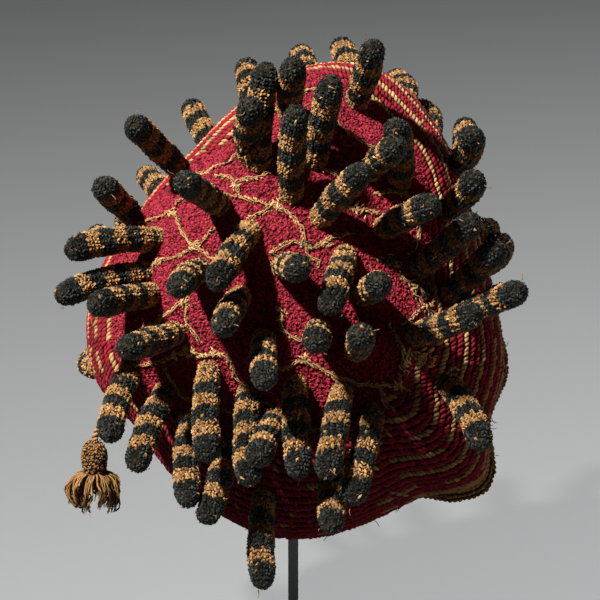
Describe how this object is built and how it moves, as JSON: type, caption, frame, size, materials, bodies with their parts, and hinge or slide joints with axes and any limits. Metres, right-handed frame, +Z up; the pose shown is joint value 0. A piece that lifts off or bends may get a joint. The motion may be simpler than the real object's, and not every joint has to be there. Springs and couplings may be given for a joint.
{
  "type": "crocheted cap on a rod stand",
  "caption": "Crocheted wool and fibre cap with a netted crown, ribbed walls and stuffed banded fingers, tilted forward on a plain rod stand.",
  "frame": {"origin": "centre of the stand foot's underside, on the floor under the rod", "axes": "+Z up along the rod, -Y the side that the cap's crown faces, +X to the right as seen from there"},
  "size_m": [0.2314, 0.274, 0.3452],
  "materials": {
    "crown_wool": "fine looped red wool with raised tan lines",
    "ribbed_wool": "crocheted red and tan rows",
    "tan_fibre": "twisted straw-coloured plant fibre",
    "banded_fibre": "crocheted black and tan bands",
    "black_steel": "satin black"
  },
  "bodies": {
    "root": {"crown_panel": "crown_wool", "side_wall": "ribbed_wool", "back_wall": "ribbed_wool", "rim_band": "tan_fibre", "tassel": "tan_fibre", "stand_foot": "black_steel", "stand_rod": "black_steel", "stand_pad": "black_steel", "burl_01": "banded_fibre", "burl_02": "banded_fibre", "burl_03": "banded_fibre", "burl_04": "banded_fibre", "burl_05": "banded_fibre", "burl_06": "banded_fibre", "burl_07": "banded_fibre", "burl_08": "banded_fibre", "burl_09": "banded_fibre", "burl_10": "banded_fibre", "burl_11": "banded_fibre", "burl_12": "banded_fibre", "burl_13": "banded_fibre", "burl_14": "banded_fibre", "burl_15": "banded_fibre", "burl_16": "banded_fibre", "burl_17": "banded_fibre", "burl_18": "banded_fibre", "burl_19": "banded_fibre", "burl_20": "banded_fibre", "burl_21": "banded_fibre", "burl_22": "banded_fibre", "burl_23": "banded_fibre", "burl_24": "banded_fibre", "burl_25": "banded_fibre", "burl_26": "banded_fibre", "burl_27": "banded_fibre", "burl_28": "banded_fibre", "burl_29": "banded_fibre", "burl_30": "banded_fibre", "burl_31": "banded_fibre", "burl_32": "banded_fibre", "burl_33": "banded_fibre", "burl_34": "banded_fibre", "burl_35": "banded_fibre", "burl_36": "banded_fibre", "burl_37": "banded_fibre", "burl_38": "banded_fibre", "burl_39": "banded_fibre", "burl_40": "banded_fibre", "burl_41": "banded_fibre", "burl_42": "banded_fibre", "burl_43": "banded_fibre", "burl_44": "banded_fibre", "burl_45": "banded_fibre"}
  },
  "joints": []
}
